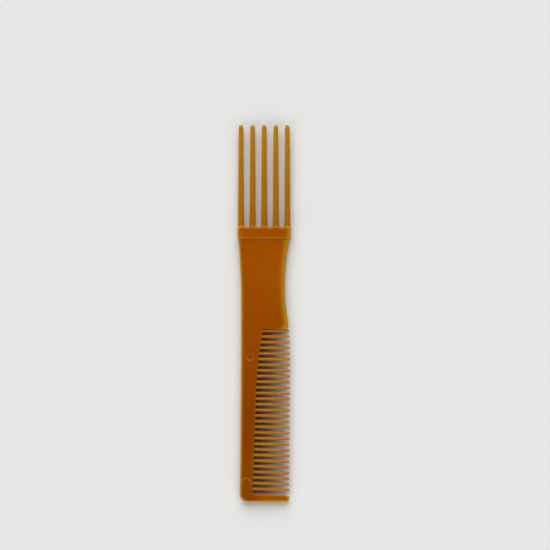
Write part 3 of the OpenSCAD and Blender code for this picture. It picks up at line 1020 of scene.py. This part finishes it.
class MakeLiftProngs(bpy.types.Operator):
    """Grow the long lifting prongs on the collar"""

    bl_idname = "comb.make_prongs"
    bl_label = "Lifting Prongs"

    def execute(self, context):
        prongs, look = context.scene.comb_prongs, context.scene.comb_plastic
        centrelines, flares = [], []
        for i, (name, x) in enumerate(zip(PRONGS, prong_middles(prongs))):
            centrelines.append(((x, COLLAR_TOP_Y, MID_Z), (x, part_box(name)[1].y, MID_Z)))
            flares.append((i < len(PRONGS) - 1, i > 0))
        plastic = amber_plastic("prong_amber", look, tuple(look.prong))
        values = {
            "Root Width": prongs.root_w, "Tip Width": prongs.tip_w,
            "Root Thickness": prongs.root_t, "Tip Thickness": prongs.tip_t,
            "Nose Length": prongs.nose, "Fillet Radius": prongs.fillet,
            "Face Fillet": prongs.fillet_t, "Sunk Length": prongs.sunk,
            # The prongs' sides are lighter, partly as thinner plastic and partly as a painted highlight
            # along their edges
            "Thin Root": 0.0, "Thin Tip": 0.75, "Side Light And Shade": 0.35,
        }
        tree = tine_tree("Prongs", sides=20)
        mesh = grown("lift_prongs", tree, centrelines, flares, values, plastic)
        finished("lift_prongs", mesh, plastic, "prong_plastic", *PRONGS)
        return {"FINISHED"}


class MakeFineTeeth(bpy.types.Operator):
    """Grow the row of fine teeth on the spine"""

    bl_idname = "comb.make_teeth"
    bl_label = "Fine Teeth"

    def execute(self, context):
        back, teeth = context.scene.comb_back, context.scene.comb_teeth
        look = context.scene.comb_plastic
        centrelines, flares = [], []
        for i, name in enumerate(TEETH):
            y = SHOULDER_Y - teeth.first_slot - teeth.root_w / 2 - i * teeth.pitch
            lean = teeth.lean * i / (len(TEETH) - 1)
            root = (root_x(back, y), y, MID_Z)
            centrelines.append((root, (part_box(name)[1].x, y - lean, MID_Z)))
            flares.append((True, i > 0))
        # The teeth are painted darker on their flanks and lighter along their tops, as painted shade and
        # painted light
        plastic = amber_plastic("tooth_amber", look, tuple(look.shaded_flank), pale=tuple(look.lit_crest), gloss=0.15)
        values = {
            "Root Width": teeth.root_w, "Tip Width": teeth.tip_w,
            "Root Thickness": back.root_t, "Tip Thickness": teeth.tip_t,
            "Nose Length": teeth.nose, "Fillet Radius": teeth.fillet,
            # The negative side value paints shade on the teeth's flanks
            "Thin Root": 0.6, "Thin Tip": 0.95, "Side Light And Shade": -0.9,
        }
        tree = tine_tree("Fine teeth", sides=16)
        mesh = grown("fine_teeth", tree, centrelines, flares, values, plastic)
        finished("fine_teeth", mesh, plastic, "tooth_plastic", *TEETH)
        return {"FINISHED"}


FLOOR_GAP = 0.02 * MM
BACKDROP = 0.85


def pale_paper(look):
    """Matt pale paper with a fine grain."""
    paper = bpy.data.materials.new("pale_paper")
    paper.use_nodes = True
    tree = paper.node_tree
    tree.nodes.clear()
    place = tree.nodes.new("ShaderNodeTexCoord").outputs["Object"]
    grain = add_node(tree, "ShaderNodeTexNoise", Vector=place, Scale=900.0, Detail=2.0)
    bump = add_node(
        tree, "ShaderNodeBump", Strength=0.1, Distance=0.05 * MM, Height=grain.outputs["Fac"]
    )
    shader = add_node(
        tree, "ShaderNodeBsdfPrincipled", Base_Color=(*look.floor, 1.0), Roughness=0.9,
        Specular_IOR_Level=0.1, Normal=bump.outputs[0],
    )
    add_node(tree, "ShaderNodeOutputMaterial", Surface=shader.outputs[0])
    return paper


def wide_floor(look):
    """Wide floor just below the comb."""
    half = look.floor_size / 2
    corners = [(-half, -half), (half, -half), (half, half), (-half, half)]
    mesh = bpy.data.meshes.new("floor")
    mesh.from_pydata([(x, y, -FLOOR_GAP) for x, y in corners], [], [(0, 1, 2, 3)])
    mesh.materials.append(pale_paper(look))
    floor = placed("floor", mesh)


def pale_room(look):
    """World that is pale to the camera. As a light it is dim, and strongest from low all around."""
    world = bpy.data.worlds.new("pale_room")
    world.use_nodes = True
    tree = world.node_tree
    tree.nodes.clear()
    seen = Field(tree, tree.nodes.new("ShaderNodeLightPath").outputs["Is Camera Ray"])
    toward = tree.nodes.new("ShaderNodeTexCoord").outputs["Generated"]
    parts = add_node(tree, "ShaderNodeSeparateXYZ", Vector=toward)
    dim = (1 - Field(tree, parts.outputs["Z"])).clamped() * look.sky
    glow = seen * BACKDROP + (1 - seen) * dim
    light = add_node(tree, "ShaderNodeBackground", Color=(1.0, 1.0, 1.0, 1.0), Strength=glow)
    add_node(tree, "ShaderNodeOutputWorld", Surface=light.outputs[0])
    return world


def soft_sun(name, energy, azimuth, elevation, spread):
    """Wide soft light from far away. Its azimuth runs in degrees from the prongs round to the right."""
    lamp = bpy.data.lights.new(name, "SUN")
    lamp.energy = energy
    lamp.angle = math.radians(spread)
    light = placed(name, lamp)
    turn, up = math.radians(azimuth), math.radians(elevation)
    towards = Vector((math.sin(turn) * math.cos(up), math.cos(turn) * math.cos(up), math.sin(up)))
    light.rotation_euler = towards.to_track_quat("Z", "Y").to_euler()


def camera_above(look):
    """Camera straight above the comb, with the prongs up."""
    lens = bpy.data.cameras.new("camera")
    lens.sensor_width = 36.0
    lens.lens = lens.sensor_width * look.distance / look.view_width
    lens.clip_start, lens.clip_end = 0.05, 50.0
    camera = placed("camera", lens)
    camera.location = (look.view_x, look.view_y, MID_Z + look.distance)
    return camera


class SetStage(bpy.types.Operator):
    """Set the pale floor, the soft lights and the camera over the comb"""

    bl_idname = "comb.set_stage"
    bl_label = "Stage"

    def execute(self, context):
        scene, look = context.scene, context.scene.comb_stage
        wide_floor(look)
        scene.world = pale_room(look)
        soft_sun("key_light", look.key, azimuth=-4, elevation=40, spread=64)
        soft_sun("left_light", look.left, azimuth=215, elevation=30, spread=52)
        soft_sun("right_light", look.right, azimuth=145, elevation=30, spread=52)
        scene.camera = camera_above(look)
        scene.view_settings.view_transform = "Standard"
        return {"FINISHED"}


OPERATORS = (MakeCombBack, MakeCollar, MakeLiftProngs, MakeFineTeeth, SetStage)


class CombPanel(bpy.types.Panel):
    """Steps and sizes of the comb"""

    bl_idname = "VIEW3D_PT_lift_comb"
    bl_label = "Lift Comb"
    bl_space_type = "VIEW_3D"
    bl_region_type = "UI"
    bl_category = "Comb"

    def draw(self, context):
        layout = self.layout
        for operator in OPERATORS:
            layout.operator(operator.bl_idname)
        for attribute, group in GROUPS.items():
            box = layout.box()
            box.label(text=group.__doc__)
            for name in group.__annotations__:
                box.prop(getattr(context.scene, attribute), name)


CLASSES = (*GROUPS.values(), *OPERATORS, CombPanel)


def register():
    """Adds the classes, and the sizes and colours to the scene."""
    for item in CLASSES:
        bpy.utils.register_class(item)
    for attribute, group in GROUPS.items():
        setattr(bpy.types.Scene, attribute, PointerProperty(type=group))


def unregister():
    """Takes the sizes, colours and classes away again."""
    for attribute in GROUPS:
        delattr(bpy.types.Scene, attribute)
    for item in reversed(CLASSES):
        bpy.utils.unregister_class(item)


def main():
    """Builds the stage and the comb."""
    register()
    bpy.ops.comb.set_stage()
    bpy.ops.comb.make_back()
    bpy.ops.comb.make_collar()
    bpy.ops.comb.make_prongs()
    bpy.ops.comb.make_teeth()
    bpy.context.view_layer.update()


if __name__ == "__main__":
    main()
